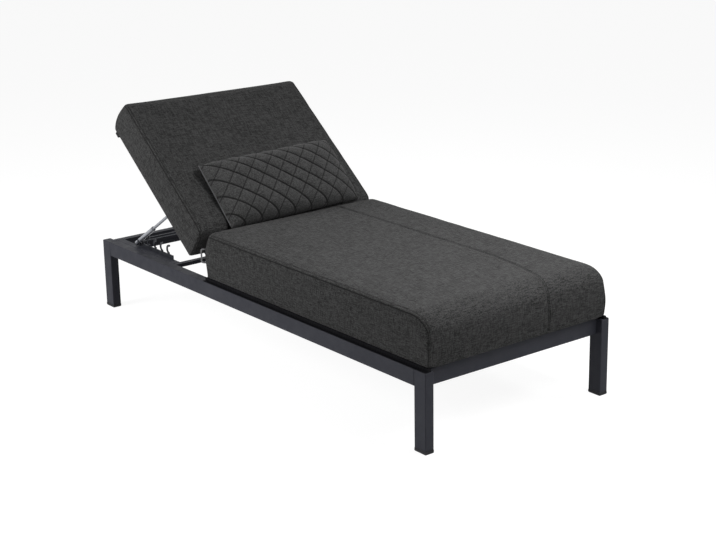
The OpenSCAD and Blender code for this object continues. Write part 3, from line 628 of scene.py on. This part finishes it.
# swells the piece as stuffed cloth, with the pinned points held and no point moved past the cap
def swellCloth(piece, s, pinned):
    group = piece.vertex_groups.new(name="pinned")
    group.add(pinned, 1.0, "REPLACE")
    before = [v.co.copy() for v in piece.data.vertices]
    cloth = piece.modifiers.new("swell", "CLOTH")
    c = cloth.settings
    c.quality = clothRun["quality"]
    c.mass = clothRun["mass"]
    c.air_damping = clothRun["air"]
    c.tension_stiffness = s["tension"]
    c.compression_stiffness = s["tension"]
    c.shear_stiffness = clothRun["shear"]
    c.bending_stiffness = s["bending"]
    c.use_pressure = True
    c.uniform_pressure_force = s["pressure"]
    c.shrink_min = s["shrink"]
    c.vertex_group_mass = "pinned"
    c.pin_stiffness = clothRun["held"]
    c.effector_weights.gravity = 0
    for step in range(1, s["frames"] + 1):
        scene.frame_set(step)
    shaped = piece.evaluated_get(bpy.context.evaluated_depsgraph_get())
    after = [v.co.copy() for v in shaped.data.vertices]
    piece.modifiers.remove(cloth)
    scene.frame_set(1)
    for v, a, b in zip(piece.data.vertices, before, after):
        move = b - a
        if move.length > 1e-9:
            move *= s["cap"] * math.tanh(move.length / s["cap"]) / move.length
        v.co = a + move
    piece.data.update()


def subdivideOnce(piece):
    rounder = piece.modifiers.new("rounder", "SUBSURF")
    rounder.levels = 1
    rounder.render_levels = 1
    shaped = piece.evaluated_get(bpy.context.evaluated_depsgraph_get())
    data = bpy.data.meshes.new_from_object(shaped)
    data.name = piece.data.name
    old = piece.data
    piece.modifiers.clear()
    piece.data = data
    bpy.data.meshes.remove(old)
    for face in data.polygons:
        face.use_smooth = True


def setAttribute(data, name, values):
    made = data.attributes.new(name, "FLOAT", "POINT")
    made.data.foreach_set("value", values)


# where the cushion's box is cut: finely at its seams, shoulders and sewn channel
def cushionCuts(s):
    hx, hy, t = s["halfWidth"], s["halfLength"], s["thick"]
    inward = [insideAt(s["seamUp"] + s["seamWide"] * k, s["reach"], s["fall"]) for k in sewing["seamCuts"]]
    inward += [s["reach"] * k for k in sewing["sideCuts"]] + [s["underEdge"] * k for k in sewing["underCuts"]]
    xKeys = [side * (hx - k) for side in (-1, 1) for k in inward]
    if s["channel"] is not None:
        xKeys += [s["channel"] + side * k for side in (-1, 1) for k in sewing["channelCuts"]]
    yKeys = [hy - s["reach"] * k for k in sewing["shoulderCuts"]]
    yKeys += [-hy + s["footReach"] * k for k in sewing["shoulderCuts"]]
    yKeys += [side * (hy - sewing["endCut"]) for side in (-1, 1)]
    zKeys = [t - k for k in sewing["topCuts"]] + list(sewing["footCuts"])
    return [spread(low, high, keys, s["step"]) for low, high, keys in
            ((-hx, hx, xKeys), (-hy, hy, yKeys), (0, t, zKeys))]


def bell(distance, reach):
    return math.exp(-(distance / reach) ** 2)


# how far the cloth stands off the plain form: lumps, puckers, the seam's ridge and the channel
def clothLift(start, gap, away, panel, s):
    lift = 0.0
    if start.z > sewing["lumpsFrom"]:
        coarse, fine = (noise.noise(start * scale) for scale in sewing["lumpScales"])
        lift += s["lumps"] * (coarse + sewing["fineLumps"] * fine)
        scale = sewing["puckerScale"]
        pucker = noise.noise(Vector((start.x * scale, start.y * sewing["puckerAlong"], start.z * scale + 5)))
        lift += s["pucker"] * pucker * bell(gap, sewing["puckerReach"])
    if panel or gap > sewing["ridgeFrom"]:
        lift += s["ridgeHigh"] * seamRidge(gap, s["seamWide"])
    if away < sewing["farAway"]:
        lift -= s["channelDeep"] * bell(away, sewing["grooveReach"])
        lift += s["channelLip"] * bell(away - sewing["lipAt"], sewing["lipReach"])
        gather = noise.noise(Vector((9, start.y * sewing["gatherScale"], start.z * sewing["gatherScale"])))
        lift += s["pucker"] * gather * bell(away, sewing["gatherReach"])
    return lift


def makeCushion(name, node, body, material, place, s):
    half = Vector((s["halfWidth"], s["halfLength"], 0))
    mesh = slicedBox(-half, half + Vector((0, 0, s["thick"])), cushionCuts(s))
    mesh.verts.index_update()
    starts = [v.co.copy() for v in mesh.verts]
    panels = [onPanel(start, s) for start in starts]
    seamGaps = [seamGap(start, s) for start in starts]
    channelGaps = [abs(start.x - s["channel"]) if panel and s["channel"] is not None else sewing["farAway"]
                   for start, panel in zip(starts, panels)]
    for v, start in zip(mesh.verts, starts):
        v.co = cushionPoint(*start, s)
    mesh.normal_update()
    normals = [v.normal.copy() for v in mesh.verts]
    piece = finishPiece(mesh, name, material, body, (node,), smooth=True)
    held = sewing["seamHeld"]
    pinned = [index for index, (start, gap, away) in enumerate(zip(starts, seamGaps, channelGaps))
              if start.z < sewing["footHeld"] or -held < gap < s["seamWide"] + held
              or away < sewing["channelHeld"]]
    swellCloth(piece, s["cloth"], pinned)
    for v, normal, *facts in zip(piece.data.vertices, normals, starts, seamGaps, channelGaps, panels):
        v.co += normal * clothLift(*facts, s)
    setAttribute(piece.data, "seamGap", seamGaps)
    setAttribute(piece.data, "channelGap", channelGaps)
    subdivideOnce(piece)
    for v in piece.data.vertices:
        v.co.z = max(-footHang(v.co.x, v.co.y, s), v.co.z)
    piece.data.transform(place)
    piece.data.update()
    print(name, "made:", len(piece.data.polygons), "faces")


# reach and fall are the shoulder's; swell is the belly of the walls, which hold keeps in at the corners
seatSet = {
    "halfWidth": 0.393, "halfLength": 0.62785, "thick": 0.1745, "step": 0.015,
    "reach": 0.042, "fall": 0.022, "footReach": 0.083, "footFall": 0.062, "underEdge": 0.0035,
    "headCorner": 0.030, "footCorner": 0.014, "wallCorner": 0.008, "footEdge": 0.003, "crown": 0.002,
    "swell": 0.005, "headSwell": 0.011, "headLow": 1.6, "hold": 0.4, "hang": 0.004,
    "seamUp": 0.0055, "seamWide": 0.0105, "ridgeHigh": 0.0012, "lumps": 0.0008, "pucker": 0.0007,
    "channel": 0.193, "bendFrom": -0.183, "bendBy": -0.070, "channelDeep": 0.0024, "channelLip": 0.0008,
    "fill": 0.95,
    "cloth": {"pressure": 0.6, "tension": 20, "bending": 1.5, "shrink": 0.0, "frames": 12, "cap": 0.0018},
}
seatLow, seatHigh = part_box("seat_cushion")
seatPlace = Matrix.Translation((0, (seatLow.y + seatHigh.y) / 2, seatLow.z))
makeCushion("seatCushion", "seat_cushion", "frame", finishes["charcoal_fabric"],
            seatPlace, seatSet)

backSet = {
    "halfWidth": 0.3965, "halfLength": 0.331, "thick": 0.1487, "step": 0.015,
    "reach": 0.042, "fall": 0.016, "footReach": 0.042, "footFall": 0.016, "underEdge": 0.004,
    "headCorner": 0.016, "footCorner": 0.014, "wallCorner": 0.010, "footEdge": 0.008, "crown": 0.001,
    "swell": 0.008, "headSwell": 0.011, "headLow": 0.7, "hold": 0.35, "hang": 0.0,
    "seamUp": 0.0055, "seamWide": 0.0095, "ridgeHigh": 0.0012, "lumps": 0.0008, "pucker": 0.0007,
    "channel": None, "fill": 0.95,
    "cloth": {"pressure": 0.6, "tension": 20, "bending": 1.5, "shrink": 0.0, "frames": 12, "cap": 0.002},
    "middle": (0.0035, 0.4125, 0.0083), "turn": -0.85,
}
backCushionPlace = backPlace @ Matrix.Translation(backSet["middle"]) \
    @ Matrix.Rotation(math.radians(backSet["turn"]), 4, "Z")
makeCushion("backCushion", "back_cushion", "back_cushion", finishes["back_fabric"],
            backCushionPlace, backSet)


# the loose pillow: diamonds quilted on both sides and a piped edge
pillowSet = {
    "length": 0.598, "height": 0.285, "front": 0.072, "rear": 0.0215, "rim": 0.006,
    "drawSide": 0.001, "drawTop": 0.007, "rimCuts": (0.0, 0.0004, 0.0014, 0.0032, 0.006),
    "step": 0.0385, "shift": 0.01925, "cells": 8, "cellSlack": 0.02, "quilt": 0.0105,
    "rearQuilt": 0.5, "faint": 0.5, "stitchHeld": 0.09, "rimHeld": 1e-3,
    "piping": 0.0026, "pipingSteps": 40, "fill": 0.8,
    "place": (0.026, 0.0765, 0.1594), "turn": 1.0, "lean": 7.4, "footToMiddle": 0.142,
    "cloth": {"pressure": 3.0, "tension": 12, "bending": 0.3, "shrink": -0.01, "frames": 16, "cap": 0.006},
}
pillowPlace = backPlace @ Matrix.Translation(pillowSet["place"]) \
    @ Matrix.Rotation(math.radians(pillowSet["turn"]), 4, "Z") \
    @ Matrix.Rotation(math.radians(pillowSet["lean"]), 4, "X") \
    @ Matrix.Translation((0, pillowSet["footToMiddle"], 0))


# how near a point is to the nearest stitch line each way: 0 on a line, 1 in the middle between two
def stitchCloseness(x, y, s):
    x, y = x - s["shift"], y - s["shift"]
    return tuple(abs(q % 2 - 1) for q in ((x + y) / s["step"], (x - y) / s["step"]))


# the pillow's outline, drawn in between its corners; u and w run from -1 to 1
def pillowOutline(u, w, s):
    return (u * (s["length"] / 2 - s["drawSide"] * (1 - w * w)),
            w * (s["height"] / 2 - s["drawTop"] * max(0.0, w) * (1 - u * u)))


# the padding's rise between two stitch lines, as a part of a circle
def puff(near):
    return math.sqrt(max(0.0, 1 - (1 - min(1.0, near)) ** 2))


# a flat grid whose squares' diagonals lie on the stitch lines, with a rim that is cut finer
def pillowGrid(s):
    mesh = bmesh.new()
    halves = (s["length"] / 2, s["height"] / 2)
    cell = s["step"] / s["cells"]
    across, along = (math.ceil(half / cell) for half in halves)
    bmesh.ops.create_grid(mesh, x_segments=2 * across, y_segments=2 * along, size=1.0)
    bmesh.ops.scale(mesh, vec=(across * cell, along * cell, 1), verts=mesh.verts)
    for axis, half in enumerate(halves):
        for sign in (-1, 1):
            outward = Vector((0, 0, 0))
            outward[axis] = sign
            for inset in s["rimCuts"]:
                bmesh.ops.bisect_plane(mesh, geom=everything(mesh), dist=1e-6,
                                       plane_co=outward * (half - inset), plane_no=outward,
                                       clear_outer=inset == 0.0)
    area = cell * cell
    whole = [f for f in mesh.faces if abs(f.calc_area() - area) < area * s["cellSlack"]]
    bmesh.ops.poke(mesh, faces=whole)
    return mesh


def makePillow(s):
    mesh = pillowGrid(s)
    rear = bmesh.ops.duplicate(mesh, geom=everything(mesh))["geom"]
    bmesh.ops.reverse_faces(mesh, faces=[g for g in rear if isinstance(g, bmesh.types.BMFace)])
    behind = {g for g in rear if isinstance(g, bmesh.types.BMVert)}
    mesh.verts.index_update()
    pinned, gaps = [], {"seamGap": [], "channelGap": []}
    for v in mesh.verts:
        u, w = v.co.x / (s["length"] / 2), v.co.y / (s["height"] / 2)
        down, up = stitchCloseness(v.co.x, v.co.y, s)
        full = math.sqrt(max(0.0, (1 - u ** 4) * (1 - w ** 4)))
        relief = s["quilt"] * (puff(down) * (1 - s["faint"] * (1 - puff(up))) - 1) * full
        if v in behind:
            share = (1 + w) / 2
            v.co.z = -s["rim"] / 2 - s["rear"] * share * full - relief * s["rearQuilt"] * share
        else:
            v.co.z = s["rim"] / 2 + s["front"] * full + relief
        v.co.x, v.co.y = pillowOutline(u, w, s)
        gaps["seamGap"].append(down * s["step"] * math.sqrt(0.5))
        gaps["channelGap"].append(up * s["step"] * math.sqrt(0.5))
        if v in behind or full < s["rimHeld"] or min(down, up) < s["stitchHeld"]:
            pinned.append(v.index)
    bmesh.ops.bridge_loops(mesh, edges=[e for e in mesh.edges if e.is_boundary])
    bmesh.ops.recalc_face_normals(mesh, faces=mesh.faces)
    piece = finishPiece(mesh, "quiltedPillow", finishes["quilted_fabric"], "pillow",
                        ("pillow",), smooth=True)
    for name, values in gaps.items():
        setAttribute(piece.data, name, values)
    swellCloth(piece, s["cloth"], pinned)
    piece.data.transform(pillowPlace)
    piece.data.update()
    print("quiltedPillow made:", len(piece.data.polygons), "faces")


# a tube along a line of points, or a tape where flat is more than 0
def makeTube(name, points, thick, flat, material, body, place):
    curve = bpy.data.curves.new(name, "CURVE")
    curve.dimensions = "3D"
    line = curve.splines.new("POLY")
    line.points.add(len(points) - 1)
    for dot, co in zip(line.points, points):
        dot.co = (*co, 1)
    curve.extrude = flat
    curve.bevel_depth = thick
    curve.bevel_resolution = 3
    curve.use_fill_caps = True
    holder = bpy.data.objects.new(name + "Line", curve)
    scene.collection.objects.link(holder)
    data = bpy.data.meshes.new_from_object(holder.evaluated_get(bpy.context.evaluated_depsgraph_get()))
    bpy.data.objects.remove(holder)
    mesh = bmesh.new()
    mesh.from_mesh(data)
    bpy.data.meshes.remove(data)
    bmesh.ops.remove_doubles(mesh, verts=mesh.verts, dist=1e-6)
    bmesh.ops.recalc_face_normals(mesh, faces=mesh.faces)
    bmesh.ops.transform(mesh, matrix=place, verts=mesh.verts)
    finishPiece(mesh, name, material, body, smooth=True)


makePillow(pillowSet)

# the piping goes round the sides and the top, where the edge is not sat on
rimPath = []
for u0, w0, u1, w1 in ((1, -1, 1, 1), (1, 1, -1, 1), (-1, 1, -1, -1)):
    for i in range(pillowSet["pipingSteps"]):
        k = i / pillowSet["pipingSteps"]
        x, y = pillowOutline(u0 + (u1 - u0) * k, w0 + (w1 - w0) * k, pillowSet)
        rimPath.append((x, y, 0))
makeTube("pillowPiping", rimPath, pillowSet["piping"], 0, finishes["piping"], "pillow",
         pillowPlace)


# the bare loop of tape in the seat cushion's corner seam, at its head end; bends gives how far out
# the tape has come, as a share of reach, and how far it has turned from its high or low end
loopSet = {
    "x": -0.3915, "y": 0.2590, "reach": 0.0135, "low": 0.345, "high": 0.396,
    "half": 0.0024, "thick": 0.0009, "bends": ((0, 0), (0.6, 0), (0.9, 0.0015), (1.0, 0.005)),
}


def loopPath(s):
    levels = [(out, s["high"] - turned) for out, turned in s["bends"]]
    levels += [(out, s["low"] + turned) for out, turned in reversed(s["bends"])]
    return [(s["x"] - s["reach"] * out, s["y"] + s["reach"] * out, z) for out, z in levels]


makeTube("sideLoop", loopPath(loopSet), loopSet["thick"], loopSet["half"], finishes["tape"], "frame",
         Matrix.Identity(4))
print("pillow piping and side loop made")
